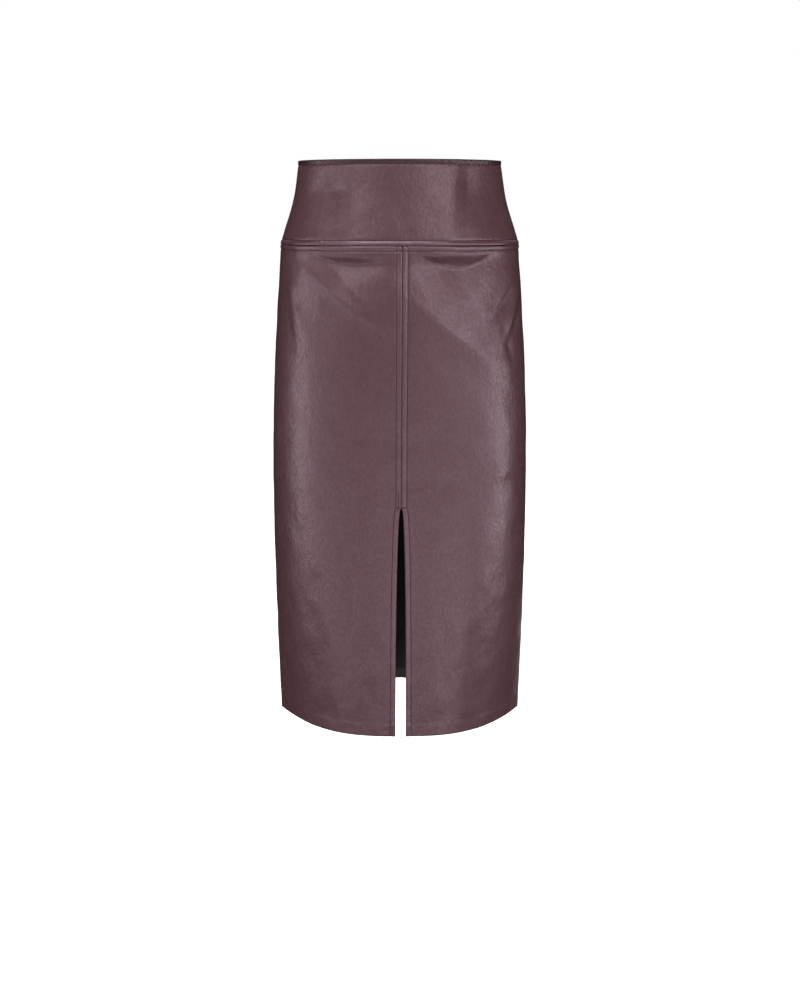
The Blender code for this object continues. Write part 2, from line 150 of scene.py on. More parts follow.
# The hollow form: half width, depth to the front and to the back, and how square the section is
Section = namedtuple("Section", "z half_width front back square round")
SECTIONS = tuple(Section(*row) for row in (
    (0.0000, 0.1316, 0.0895, 0.0905, 2.05, 2.00),
    (-0.0120, 0.1333, 0.0905, 0.0908, 2.05, 2.00),
    (-0.0380, 0.1370, 0.0935, 0.0922, 2.08, 2.00),
    (-0.0640, 0.1435, 0.0975, 0.0965, 2.10, 2.00),
    (-0.0900, 0.1520, 0.1020, 0.1025, 2.12, 2.00),
    (-0.1060, 0.1564, 0.1045, 0.1062, 2.14, 2.00),
    (-0.1280, 0.1581, 0.1072, 0.1105, 2.15, 2.00),
    (-0.1550, 0.1602, 0.1098, 0.1150, 2.16, 2.00),
    (-0.2070, 0.1640, 0.1135, 0.1225, 2.18, 1.98),
    (-0.2880, 0.1687, 0.1160, 0.1290, 2.20, 1.95),
    (-0.3900, 0.1719, 0.1168, 0.1300, 2.24, 1.88),
    (-0.4700, 0.1723, 0.1168, 0.1285, 2.34, 1.72),
    (-0.5700, 0.1712, 0.1169, 0.1272, 2.54, 1.45),
    (-0.6700, 0.1692, 0.1170, 0.1267, 2.76, 1.17),
    (-0.7500, 0.1665, 0.1170, 0.1266, 2.90, 1.00),
))
HIP = -0.390

# How far the centre-front seam hangs to the wearer's left, at three heights
FRONT_DRIFT = ((YOKE_SEAM, 3.6 * MM), (SLIT_TOP, 2.0 * MM), (HEM, 1.1 * MM))

# Folds of the leather, in millimetres and degrees.  along is the arc length from the centre line to the
# fold's middle, positive to the wearer's left; turn is its direction from the horizontal.
Fold = namedtuple("Fold", "side along z turn length above below rise")
FOLDS = tuple(Fold(*row) for row in (
    # drag hollows that hang from the yoke seam
    (FRONT, -66, -129, -3, 46, 7, 16, -2.4),
    (FRONT, 64, -128.5, 2, 54, 7, 16, -2.4),
    (BACK, -62, -130, 4, 44, 7, 18, -2.0),
    (BACK, 70, -129, -5, 50, 7, 16, -2.2),
    # slanting ridges over the stomach and the seat
    (FRONT, -64, -172, -35, 62, 26, 15, 1.8),
    (FRONT, 66, -212, -38, 74, 34, 17, 2.2),
    (BACK, -80, -198, 36, 66, 30, 18, 1.8),
    (BACK, 74, -230, -30, 60, 30, 20, 1.6),
    # soft upright folds in the yoke
    (FRONT, 68, -48, 82, 44, 17, 9, 1.3),
    (FRONT, -62, -62, 97, 48, 15, 20, 1.0),
    (FRONT, 2, -60, 90, 52, 20, 20, -1.0),
    (BACK, -56, -52, 96, 42, 14, 16, 1.1),
    (BACK, 52, -60, 84, 46, 16, 12, 1.0),
    # short pulls at the hips
    (FRONT, -142, -196, -68, 34, 10, 9, 1.5),
    (FRONT, 152, -202, 66, 32, 9, 9, -1.6),
    (BACK, -150, -205, 64, 34, 9, 10, -1.4),
    (BACK, 146, -192, -66, 32, 10, 9, 1.4),
    # long shallow falls from the hip to the hem
    (FRONT, -100, -560, 100, 130, 24, 26, 1.5),
    (FRONT, 98, -590, 78, 130, 26, 24, 1.5),
    (BACK, -84, -540, 96, 140, 26, 28, 1.6),
    (BACK, 92, -580, 83, 130, 28, 24, 1.6),
))
SIDE_FADE = 22.0 * MM

# Creases that lie over the folds, in millimetres and degrees.  A crease's ends are lifted by its bow, and
# its crest is rounded over the crest's half width, from which it falls away above and below.
Crease = namedtuple("Crease", "side along z turn bow length above below crest rise")
CREASES = tuple(Crease(*row) for row in (
    # drag hollows, hung like hammocks from the yoke seam's stitching, each under a puffed edge
    (FRONT, -86, -130, -8, 2, 34, 8, 28, 1.5, -2.8),
    (FRONT, -46, -131.5, 4, 4, 40, 9, 40, 2.5, -3.6),
    (FRONT, -62, -118.5, -1, 2, 44, 5, 4, 1.5, 1.0),
    (FRONT, -97, -123.5, -17, 0, 22, 5, 28, 1.0, -1.8),
    (FRONT, 80, -132.5, 1, 8, 50, 9, 90, 1.5, -4.4),
    (FRONT, 77, -136.5, 2, 12, 38, 6, 90, 0.8, -2.8),
    (FRONT, 119, -122.5, 22, 0, 22, 5, 30, 1.0, -1.8),
    (FRONT, 34, -123.5, -14, 0, 16, 5, 20, 1.0, -1.2),
    (FRONT, 74, -150, 0, 4, 40, 14, 50, 5.0, -1.2),
    (FRONT, 74, -118, 1, 2, 42, 6, 5, 1.5, 1.5),
    (BACK, -58, -133, 4, 5, 40, 8, 20, 1.5, -2.4),
    (BACK, 66, -132, -4, 6, 44, 8, 22, 1.5, -2.7),
    # slanting ridges over the stomach and the seat
    (FRONT, 66, -213, -38, 0, 90, 48, 150, 2.5, 5.0),
    (FRONT, -64, -157.5, -45, 0, 52, 26, 13, 1.2, 2.6),
    (FRONT, -68, -178.5, -34, 0, 60, 8, 14, 1.0, 3.1),
    (BACK, -80, -198, 36, 0, 74, 40, 120, 2.5, 3.6),
    (BACK, 70, -176, -34, 0, 50, 12, 15, 1.8, 1.4),
    # short pulls at the hips
    (FRONT, -149, -206, -77, 0, 34, 17, 5, 1.2, 1.4),
    (FRONT, -140, -180, -58, 0, 12, 4, 5, 1.0, -1.6),
    (FRONT, 144, -181.5, -135, 0, 26, 9, 5, 1.0, -3.2),
    (FRONT, 163, -198.5, -122, 0, 30, 6, 9, 1.0, 2.4),
    (FRONT, 172, -208, -127, 0, 26, 9, 5, 1.0, -2.6),
    (FRONT, 157, -240, -75, 0, 14, 9, 5, 1.2, -1.5),
    (BACK, 150, -204, -72, 0, 28, 12, 6, 1.2, 1.4),
    (BACK, -142, -195, 60, 0, 26, 6, 6, 1.5, -1.5),
    (BACK, -160, -223, 56, 0, 28, 6, 6, 1.5, -1.6),
    # soft level waves where the leather has been sat in
    (FRONT, 30, -354, -1, 0, 110, 16, 20, 7.0, -1.1),
    (FRONT, 72, -406, -3, 0, 70, 14, 16, 6.0, -1.2),
    (FRONT, 146, -404, 14, 0, 30, 40, 14, 2.0, 1.9),
    (FRONT, -146, -418, -12, 0, 30, 40, 14, 2.0, 1.0),
    (BACK, -40, -370, -3, 3, 100, 12, 16, 6.0, -1.6),
    (BACK, 62, -418, 4, 2, 76, 10, 14, 6.0, -1.5),
    # the slit's edges stand a little proud, and the leather falls in soft hollows beside them
    (FRONT, -13, -610, 90, 0, 150, 16, 10, 4.0, 1.2),
    (FRONT, 62, -650, 97, 0, 80, 16, 16, 6.0, -1.4),
    (FRONT, -66, -590, 84, 0, 80, 16, 18, 6.0, -1.2),
    # folds in the yoke
    (FRONT, 66, -48, -102, 0, 64, 16, 26, 2.5, 2.8),
    (FRONT, 92, -32, -96, 0, 46, 70, 14, 4.0, -4.8),
    (FRONT, -90, -88, 2, 4, 30, 10, 9, 2.0, -1.4),
    (FRONT, -90, -38, 6, 0, 22, 11, 34, 5.0, -5.2),
    (BACK, -62, -50, 100, 0, 54, 24, 11, 1.5, 1.6),
    (BACK, 88, -86, -4, 3, 36, 10, 8, 2.0, -0.8),
))

# How deep inside the leather's outer face the lining hangs: free of the folds, but close at its ends
LINING_HANG = ((TOP, 1.6 * MM), (-0.030, 4.4 * MM), (-0.700, 4.4 * MM), (HEM + HEM_TURN, INNER_LAYER))
LINING_WAVE = 1.6 * MM
LINING_CLEAR = 3.2 * MM
LINING_FREE_BELOW_TOP = 120.0 * MM
LINING_FREE_ABOVE_HEM = 60.0 * MM

# Grids of the shells
PANEL_PITCH = 2.7 * MM
YOKE_PITCH = 1.9 * MM
YOKE_ROW_PITCH = 2.6 * MM
ROW_PITCH = 3.0 * MM
LINING_PITCH = 5.0 * MM
FACING_PITCH = 2.0 * MM
TAPE_COLUMNS = 5
EDGE_STEPS = (0.0, 0.13, 0.5, 1.0)
SEAM_STEPS = (2.0 * MM, 3.2 * MM, 4.4 * MM, 5.4 * MM, 6.3 * MM, 7.2 * MM, 8.4 * MM, 10.2 * MM)
SIDE_STEPS = (2.0 * MM, 4.0 * MM)

# Closer rows below the yoke seam and above the hem, by their reach and pitch; and rows that are set
# about the slit's point and the lining's cut, by the room that they need and their steps from it
HOLLOW_ROWS = (46.0 * MM, 2.0 * MM)
HEM_ROWS = (22.0 * MM, 1.6 * MM)
SLIT_ROWS = (1.2 * MM, (0.6 * MM, 0.0, -0.4 * MM))
CUT_ROWS = (2.0 * MM, (0.5 * MM, -0.5 * MM))

# Samples of a quarter section: by angle, then evenly along its arc
ANGLE_SAMPLES = 721
ARC_SAMPLES = 481
LEAST_SLOPE = 0.3

# Camera: the middle of an 800 x 1000 picture, whose long side the sensor spans
CAMERA_PLACE = (0.0004, -1.9, -0.060)
CAMERA_PITCH = -11.66
CAMERA_LENS = 50.96
SENSOR = 36.0
FLOOR_Z = -1.08
FLOOR_RADIUS = 40.0
FLOOR_SIDES = 96


# ---------------------------------------------------------------- the form

def smooth_values(z, heights, values):
    """A cubic through the rows that doesn't overshoot between them; heights fall."""
    heights = np.asarray(heights, float)
    values = np.asarray(values, float)
    steps = np.diff(heights)
    slopes = np.diff(values) / steps
    tangents = np.concatenate((slopes[:1], np.zeros(len(slopes) - 1), slopes[-1:]))
    for i in range(1, len(slopes)):
        before, after = slopes[i - 1], slopes[i]
        if before * after > 0:
            tangents[i] = 2 * before * after / (before + after)
    i = np.clip(np.searchsorted(-heights, -np.asarray(z, float)) - 1, 0, len(steps) - 1)
    t = (z - heights[i]) / steps[i]
    return ((1 + 2 * t) * (1 - t) ** 2 * values[i] + t * (1 - t) ** 2 * steps[i] * tangents[i]
            + t * t * (3 - 2 * t) * values[i + 1] + t * t * (t - 1) * steps[i] * tangents[i + 1])


@lru_cache(maxsize=None)
def quarter(side, z):
    """A quarter section from the centre line to the side seam: x, y, outward normal, arc length."""
    columns = np.array(SECTIONS).T
    section = Section(z, *(float(smooth_values(z, columns[0], column)) for column in columns[1:]))
    depth = section.front if side == FRONT else section.back
    angle = np.linspace(0.0, math.pi / 2, ANGLE_SAMPLES)
    x = section.half_width * np.sin(angle) ** (2 / section.square)
    y = depth * np.clip(np.cos(angle), 0.0, 1.0) ** (2 / section.round)
    arc = np.concatenate(([0.0], np.cumsum(np.hypot(np.diff(x), np.diff(y)))))
    along = np.linspace(0.0, arc[-1], ARC_SAMPLES)
    x = np.interp(along, arc, x)
    y = np.interp(along, arc, y)
    dx = np.gradient(x, along)
    dy = np.gradient(y, along)
    size = np.hypot(dx, dy)
    return x, y, -dy / size, dx / size, along


def side_length(side, z):
    """Arc length from the centre line to the side seam."""
    return float(quarter(side, z)[4][-1])


def lay(side, along, z, shift):
    """Points of the form for grids of arc lengths, heights and shifts, one height for each row."""
    points = np.empty(along.shape + (3,))
    for r in range(len(along)):
        *columns, arc = quarter(side, float(z[r, 0]))
        distance = np.abs(along[r])
        x, y, normal_x, normal_y = (np.interp(distance, arc, column) for column in columns)
        deep = y + shift[r] * normal_y
        # a point past the side seam's plane is drawn back to it along the cloth
        past_side = np.minimum(deep, 0.0) * normal_y / np.maximum(normal_x, LEAST_SLOPE)
        hand = np.where(along[r] < 0, -1.0, 1.0)
        points[r, :, 0] = hand * (x + shift[r] * normal_x + past_side)
        points[r, :, 1] = side * np.maximum(deep, 0.0)
        points[r, :, 2] = z[r]
    return points


def side_fade(side, along, z):
    """Nothing at the side seams, and soon all of it away from them."""
    reach = np.array([[side_length(side, float(row[0]))] for row in z])
    room = (reach - np.abs(along)) / SIDE_FADE
    return 1 - np.exp(-room * room)


def laid_in(rows, side, along, z, fall):
    """How far a table of folds or creases lifts the leather, each falling away from its crest."""
    rise = np.zeros(along.shape)
    for row in rows:
        if row.side == side:
            turn = math.radians(row.turn)
            du, dv = along / MM - row.along, z / MM - row.z
            u = (du * math.cos(turn) + dv * math.sin(turn)) / row.length
            v = dv * math.cos(turn) - du * math.sin(turn)
            rise += row.rise * MM * np.exp(-u * u - fall(row, u, v))
    return rise * side_fade(side, along, z)


def fold_rise(side, along, z):
    """How far the folds lift the leather."""
    def fall(fold, _, v):
        return (v / np.where(v > 0, fold.above, fold.below)) ** 2
    return laid_in(FOLDS, side, along, z, fall)


def crease_rise(side, along, z):
    """How far the creases lift the leather: crisper at the crest than a fold, and free to bow."""
    def fall(crease, u, v):
        v = v - crease.bow * u * u
        drop = np.sqrt(v * v + crease.crest ** 2) - crease.crest
        return drop / np.where(v > 0, crease.above, crease.below)
    return laid_in(CREASES, side, along, z, fall)


def waves(u, v, longest, shortest, count, seed):
    """Soft uneven waves over a surface, between -1 and 1: a few level waves in seeded directions."""
    rng = np.random.default_rng(seed)
    total = np.zeros(np.broadcast(u, v).shape)
    for length in np.geomspace(longest, shortest, count):
        turn, phase = rng.uniform(0, 2 * math.pi, 2)
        total += np.sin(2 * math.pi * (u * math.cos(turn) + v * math.sin(turn)) / length + phase)
    return total / math.sqrt(2 * count)


def lip(distance, height, reach):
    """Relief of leather turned under an edge and stitched down beside it."""
    swell = height * np.sin(math.pi * np.clip(distance / reach, 0.0, 1.0) ** LIP_SKEW)
    return swell - STITCH_DIP * np.exp(-((distance - reach) / DIP_WIDTH) ** 2)


def puckers(run, distance, reach, rise, slant, seed):
    """Small slanting creases that the sewing draws in beside an edge; they come and go along it."""
    level = 0.0 * run
    wander = waves(run, level, longest=60 * MM, shortest=22 * MM, count=4, seed=seed)
    strength = 0.55 + 0.6 * waves(run, level, longest=90 * MM, shortest=30 * MM, count=3, seed=seed + 1)
    ripple = np.sin(2 * math.pi * (run + slant * distance) / PUCKER_PITCH + 2.2 * wander)
    body = np.where(distance < reach, 1.0, np.exp(-((distance - reach) / PUCKER_FADE) ** 2))
    return rise * ripple * np.clip(strength, 0.0, 1.2) * body * np.clip(distance / PUCKER_START, 0.0, 1.0)


def between_rows(z, rows):
    """A value read between the rows of a table of heights and values."""
    heights, values = np.array(rows).T
    return np.interp(-z, -heights, values)


def front_drift(z):
    """Where the centre-front seam or the slit's middle lies, as an arc length."""
    return between_rows(z, FRONT_DRIFT)


def front_edge(hand, z):
    """Arc length of a front panel's centre edge, which stands away from the middle along the slit."""
    drop = np.maximum(SLIT_TOP - z, 0.0) / (SLIT_TOP - HEM)
    width = SLIT_WIDTH * drop ** SLIT_POWER + SLIT_BELLY * np.sin(math.pi * drop ** BELLY_POWER)
    return front_drift(z) + hand * width / 2


def zip_edge(hand, z):
    """Arc length of a back piece's centre edge, which parts round the slider's neck."""
    reach = np.minimum(np.abs(z - PULL_AXIS_Z) / PARTING_REACH, 1.0)
    return hand * PARTING * np.cos(math.pi / 2 * reach) ** 2


SIDES = ((FRONT, "front", front_edge), (BACK, "back", zip_edge))


def bare_leather(side, along, z):
    """The leather's outer face without its seams: folds, creases and unevenness, less at the stiff top."""
    slow = 0.30 * MM * waves(along, z, longest=95 * MM, shortest=32 * MM, count=7, seed=11 + side)
    quick = 0.03 * MM * waves(along, z, longest=24 * MM, shortest=9 * MM, count=12, seed=31 + side)
    calm = np.clip((TOP - z) / CALM_REACH, 0.25, 1.0)
    return fold_rise(side, along, z) + crease_rise(side, along, z) + slow * calm + quick


def yoke_face(side):
    """Outer face of a yoke piece, with lips along the top edge and the yoke seam."""
    def shift(along, z):
        low = z - YOKE_SEAM
        return (bare_leather(side, along, z)
                + lip(TOP - z, EDGE_LIP, STITCH_OUT) + lip(low, SEAM_LIP, STITCH_OUT)
                + TOP_FLARE * np.clip(1 - (TOP - z) / STITCH_OUT, 0.0, 1.0)
                + puckers(along, TOP - z, STITCH_OUT, 0.20 * MM, -0.9, 5 + side)
                + puckers(along, low, STITCH_OUT, 0.10 * MM, 0.3, 15 + side))
    return shift


def panel_face(side, hand, edge):
    """Outer face of a skirt panel, with lips along the yoke seam, its centre edge and the hem."""
    def shift(along, z):
        down = YOKE_SEAM - z
        across = hand * (along - edge(hand, z))
        under = np.clip((HEM + HEM_TURN - z) / HEM_STEP_REACH, -1.0, 1.0)
        return (bare_leather(side, along, z)
                + lip(down, SEAM_LIP, STITCH_OUT) + lip(across, CENTRE_LIP, CENTRE_STITCH_OUT)
                + puckers(along, down, STITCH_OUT, 0.13 * MM, 0.5, 25 + side)
                + puckers(z, across, CENTRE_STITCH_OUT, 0.07 * MM, 0.4, 35 + side + hand)
                + HEM_STEP / 2 * np.sin(math.pi / 2 * under))
    return shift


def plain_face(side, depth):
    """A face of an inner layer that follows the leather at a depth."""
    def shift(along, z):
        return fold_rise(side, along, z) - depth
    return shift


def lining_face(side):
    """Outer face of the lining, which hangs free with soft waves that only fall inwards."""
    def shift(along, z):
        depth = between_rows(z, LINING_HANG)
        free = (np.clip((TOP - z) / LINING_FREE_BELOW_TOP, 0, 1)
                * np.clip((z - HEM - HEM_TURN) / LINING_FREE_ABOVE_HEM, 0, 1))
        fall = 0.5 + 0.5 * waves(along, 0.12 * z, longest=80 * MM, shortest=34 * MM, count=5, seed=51 + side)
        hollows = np.where(free > 0, bare_leather(side, along, z) - LINING_CLEAR, 0.0)
        return np.minimum(-depth - LINING_WAVE * free * np.clip(fall, 0.0, 1.4), hollows)
    return shift


# ---------------------------------------------------------------- shells

# Cloth by the word that ends its pieces' names, its thickness and its finish
Cloth = namedtuple("Cloth", "word thick material")

# An edge of cloth is rounded over its reach, to the middle of its thickness; a turned edge is thicker
Edge = namedtuple("Edge", "reach half")
Rim = namedtuple("Rim", "top low near far")
SEWN_EDGE = Edge(0.40 * MM, LEATHER / 2)
CENTRE_EDGE = Edge(0.22 * MM, LEATHER / 2)
CUT_EDGE = Edge(LEATHER / 2, LEATHER / 2)
TURNED_EDGE = Edge((INNER_LAYER + LEATHER) / 2, (INNER_LAYER + LEATHER) / 2)
TOP_EDGE = Edge(1.0 * MM, 1.0 * MM)
LINING_EDGE = Edge(LINING / 2, LINING / 2)
TAPE_EDGE = Edge(TAPE / 2, TAPE / 2)


def all_round(edge):
    """A rim with the same edge on every border."""
    return Rim(edge, edge, edge, edge)


def round_drop(distance, edge):
    """How far a rounded edge falls back, at a distance from it."""
    inside = np.clip(1.0 - distance / edge.reach, 0.0, 1.0)
    return edge.half * (1.0 - np.sqrt(1.0 - inside * inside))


def skin_depths(borders, rim, thick):
    """How far both skins lie from the outer face: rounded at every border, thicker where it is turned."""
    drop = np.zeros(borders[0].shape)
    deep = np.full(borders[0].shape, thick)
    for distance, edge in zip(borders, rim):
        drop = np.maximum(drop, round_drop(distance, edge))
        turned = np.clip(2.0 - distance / edge.reach, 0.0, 1.0)
        turned = turned * turned * (3 - 2 * turned)
        deep = np.maximum(deep, thick + (2 * edge.half - thick) * turned)
    return drop, deep - drop


def make_shell(node, cloth, side, rows, columns, face, rim):
    """A node's closed thin shell, over rows (heights) and columns (arc lengths at each height)."""
    along = np.array([columns(row) for row in rows])
    z = np.repeat(np.array(rows)[:, None], along.shape[1], axis=1)
    borders = (rows[0] - z, z - rows[-1], np.abs(along - along[:, :1]), np.abs(along[:, -1:] - along))
    drop, deep = skin_depths(borders, rim, cloth.thick)
    border = np.zeros(along.shape, bool)
    border[[0, -1], :] = True
    border[:, [0, -1]] = True
    middle = (drop + deep) / 2
    outer = face(along, z)
    outside, inside = (lay(side, along, z, outer - np.where(border, middle, skin))
                       for skin in (drop, deep))

    def both_skins(first, second):
        """The outer skin's values, then those of the inner skin, which shares the border's points."""
        return np.concatenate((first.reshape(-1, *first.shape[2:]), second[~border]))

    outer_points = np.arange(along.size).reshape(along.shape)
    inner_points = outer_points.copy()
    inner_points[~border] = along.size + np.arange(int((~border).sum()))
    faces = np.concatenate((grid_faces(outer_points), grid_faces(inner_points)[:, ::-1]))
    points = both_skins(outside, inside)
    if signed_volume(points, faces) < 0:
        faces = faces[:, ::-1]
    chart = np.stack((along, z), axis=-1)
    sewn = np.minimum.reduce(borders[:3])
    return node, shell_object(f"{node}_{cloth.word}", points, faces, both_skins(chart, chart),
                              both_skins(sewn, sewn), cloth.material)


def grid_faces(index):
    """Four-cornered faces of a grid of point numbers."""
    return np.stack((index[:-1, :-1], index[1:, :-1], index[1:, 1:], index[:-1, 1:]), -1).reshape(-1, 4)


def signed_volume(points, faces):
    """Volume inside a closed mesh, negative if its faces point inwards."""
    a, b, c, d = (points[faces[:, k]] for k in range(4))
    return float((a * np.cross(b, c)).sum() + (a * np.cross(c, d)).sum()) / 6


def put(name, data):
    """A new object in the scene, at the origin."""
    made = bpy.data.objects.new(name, data)
    bpy.context.scene.collection.objects.link(made)
    return made


def shell_object(name, points, faces, chart, edge, material):
    """A smooth mesh object with a flat chart in metres and the distance to its sewn edges."""
    mesh = bpy.data.meshes.new(name)
    mesh.from_pydata(points.tolist(), [], faces.tolist())
    mesh.materials.append(material)
    corners = np.empty(len(mesh.loops), np.int32)
    mesh.loops.foreach_get("vertex_index", corners)
    flat = mesh.uv_layers.new(name="chart")
    flat.data.foreach_set("uv", chart[corners].astype(np.float32).ravel())
    distance = mesh.attributes.new("edge_distance", "FLOAT", "POINT")
    distance.data.foreach_set("value", edge.astype(np.float32))
    mesh.shade_smooth()
    mesh.update()
    return put(name, mesh)


def spaced(near, far, count):
    """Evenly spaced values after near, up to and with far."""
    return [float(value) for value in np.linspace(near, far, count + 1)[1:]]


def even(near, far, pitch):
    """Evenly spaced values after near, up to and with far, about a pitch apart."""
    return spaced(near, far, max(int(round(abs(far - near) / pitch)), 1))


def edge_steps(edge):
    """Distances of grid lines over a rounded edge."""
    return [step * edge.reach for step in EDGE_STEPS]


def edge_and_seam(edge):
    """Distances of grid lines from a sewn edge: round its edge, then over the stitched lip."""
    return edge_steps(edge) + [step for step in SEAM_STEPS if step > edge.reach]


def rows_between(top, low, pitch, top_steps, low_steps):
    """Rows from a top to a low height, with closer ones at both ends."""
    start = [top - step for step in top_steps]
    end = [low + step for step in reversed(low_steps)]
    return start + even(start[-1], end[0], pitch)[:-1] + end


def rows_about(rows, z, room, steps):
    """Rows with other ones, at steps from a height, in place of those that are near it."""
    kept = [row for row in rows if abs(row - z) > room]
    return sorted(kept + [z + step for step in steps], reverse=True)


def half_columns(side, hand, edge, near_steps, far_steps, pitch):
    """Columns of a half piece for any height, as many at every height."""
    span = side_length(side, HIP) - near_steps[-1] - far_steps[-1]
    count = max(int(round(span / pitch)), 1)

    def columns(z):
        near = [float(edge(hand, z)) + hand * step for step in near_steps]
        far = [hand * (side_length(side, z) - step) for step in reversed(far_steps)]
        return near + spaced(near[-1], far[0], count)[:-1] + far
    return columns


def side_steps():
    """Distances of grid lines from a side seam."""
    return edge_steps(SEWN_EDGE) + list(SIDE_STEPS)


def make_yokes(leather):
    """The shaped yoke: one piece in front, two behind."""
    rows = rows_between(TOP, YOKE_SEAM, YOKE_ROW_PITCH, edge_and_seam(TOP_EDGE), edge_and_seam(SEWN_EDGE))
    half = half_columns(FRONT, LEFT, lambda hand, z: 0.0, [0.0], side_steps(), YOKE_PITCH)

    def across(z):
        left = half(z)
        return [-value for value in reversed(left[1:])] + left

    rim = Rim(TOP_EDGE, SEWN_EDGE, SEWN_EDGE, SEWN_EDGE)
    yield make_shell("yoke_front", leather, FRONT, rows, across, yoke_face(FRONT), rim)
    for hand, word in HANDS:
        columns = half_columns(BACK, hand, zip_edge, edge_and_seam(SEWN_EDGE), side_steps(), YOKE_PITCH)
        yield make_shell(f"yoke_back_{word}", leather, BACK, rows, columns, yoke_face(BACK), rim)


def make_panels(leather):
    """The skirt's front panels, open at the slit, and its back panels."""
    rim = Rim(SEWN_EDGE, TURNED_EDGE, CENTRE_EDGE, SEWN_EDGE)
    for side, side_word, edge in SIDES:
        rows = rows_between(YOKE_SEAM, HEM, ROW_PITCH,
                            edge_and_seam(SEWN_EDGE) + even(SEAM_STEPS[-1], *HOLLOW_ROWS),
                            edge_and_seam(TURNED_EDGE) + even(SEAM_STEPS[-1], *HEM_ROWS))
        if side == FRONT:
            rows = rows_about(rows, SLIT_TOP, *SLIT_ROWS)
        for hand, word in HANDS:
            columns = half_columns(side, hand, edge, edge_and_seam(CENTRE_EDGE), side_steps(), PANEL_PITCH)
            yield make_shell(f"{side_word}_{word}", leather, side, rows, columns,
                             panel_face(side, hand, edge), rim)


def beside_seam(hand, z):
    """Centre-back edge of an inner layer, whose seam lies a little beside the leather's."""
    return zip_edge(hand, z) + INNER_SEAM_SIDE


def make_turnings(leather):
    """The leather turned up at the hem and in along the slit."""
    steps = edge_steps(CUT_EDGE)
    low = HEM + TURN_ABOVE_HEM
    hem_rows = rows_between(HEM + HEM_TURN - GAP, low, ROW_PITCH, steps, steps)
    slit_rows = rows_between(SLIT_TOP, low, 2 * ROW_PITCH, steps, steps)
    across = (steps + even(FACING_PITCH, FACING_WIDTH - FACING_PITCH, FACING_PITCH)
              + [FACING_WIDTH - step for step in reversed(steps)])
    hem_start = [FACING_WIDTH + 2 * GAP + step for step in steps]
    for hand, word in HANDS:
        def facing_columns(z, hand=hand):
            near = float(front_edge(hand, z)) + hand * GAP
            return [near + hand * step for step in across]

        for node, side, rows, columns in (
                ("slit_facing", FRONT, slit_rows, facing_columns),
                ("hem_front", FRONT, hem_rows,
                 half_columns(FRONT, hand, front_edge, hem_start, side_steps(), 2 * PANEL_PITCH)),
                ("hem_back", BACK, hem_rows,
                 half_columns(BACK, hand, beside_seam, steps, side_steps(), 2 * PANEL_PITCH))):
            yield make_shell(f"{node}_{word}", leather, side, rows, columns,
                             plain_face(side, INNER_LAYER), all_round(CUT_EDGE))


def make_linings(cloth):
    """The lining, cut away round the slit's facings and the zip."""
    steps = edge_steps(LINING_EDGE)
    for side, side_word, edge in SIDES:
        turn = SLIT_TOP + CUTAWAY if side == FRONT else ZIP_END
        away = FACING_WIDTH + 2 * GAP if side == FRONT else LINING_FROM_ZIP
        rows = rows_about(rows_between(LINING_TOP, HEM + HEM_TURN, LINING_PITCH, steps, steps),
                          turn, *CUT_ROWS)

        def cut_edge(hand, z, side=side, edge=edge, turn=turn, away=away):
            cut_back = z < turn if side == FRONT else z > turn
            return edge(hand, z) + (hand * away if cut_back else INNER_SEAM_SIDE)

        for hand, word in HANDS:
            columns = half_columns(side, hand, cut_edge, steps, steps, LINING_PITCH)
            yield make_shell(f"lining_{side_word}_{word}", cloth, side, rows, columns, lining_face(side),
                             all_round(LINING_EDGE))


def make_tapes(cloth):
    """The zip's two tapes, side by side behind the centre-back seam."""
    steps = edge_steps(TAPE_EDGE)
    rows = rows_between(TAPE_TOP, ZIP_END + GAP, ROW_PITCH, steps, steps)
    for hand, word in HANDS:
        def columns(z, hand=hand):
            near = float(zip_edge(hand, z))
            inner = [near + hand * step for step in steps]
            outer = [hand * (TAPE_WIDTH - step) for step in reversed(steps)]
            return inner + spaced(inner[-1], outer[0], TAPE_COLUMNS)[:-1] + outer

        yield make_shell(f"zip_tape_{word}", cloth, BACK, rows, columns, plain_face(BACK, INNER_LAYER),
                         all_round(TAPE_EDGE))


# ---------------------------------------------------------------- nodes

def give(target, **inputs):
    """Give a node's inputs, as values or as other nodes' outputs."""
    for key, value in inputs.items():
        socket = target.inputs[key.replace("_", " ")]
        if isinstance(value, bpy.types.NodeSocket):
            target.id_data.links.new(value, socket)
        else:
            socket.default_value = value


def add(tree, kind, settings=None, out=0, **inputs):
    """One of the outputs of a new node with these settings and inputs."""
    made = tree.nodes.new(kind)
    for key, value in (settings or {}).items():
        setattr(made, key, value)
    give(made, **inputs)
    return made.outputs[out]


def arithmetic(operation, *values):
    """The result of a Math node on other nodes' outputs."""
    tree = values[0].id_data
    result = add(tree, "ShaderNodeMath", {"operation": operation})
    for value, socket in zip(values, result.node.inputs):
        tree.links.new(value, socket)
    return result


# ---------------------------------------------------------------- sewing

def seam_path(side, along, z, face, sink=0.0):
    """Points along a sewn row with the outward direction at each, sunk a little into the leather."""
    along, z = (column[:, None] for column in np.broadcast_arrays(along, z))
    shift = face(along, z) - sink
    points = lay(side, along, z, shift)[:, 0]
    out = lay(side, along, z, shift + MM)[:, 0] - points
    return points, out / np.linalg.norm(out, axis=1)[:, None]


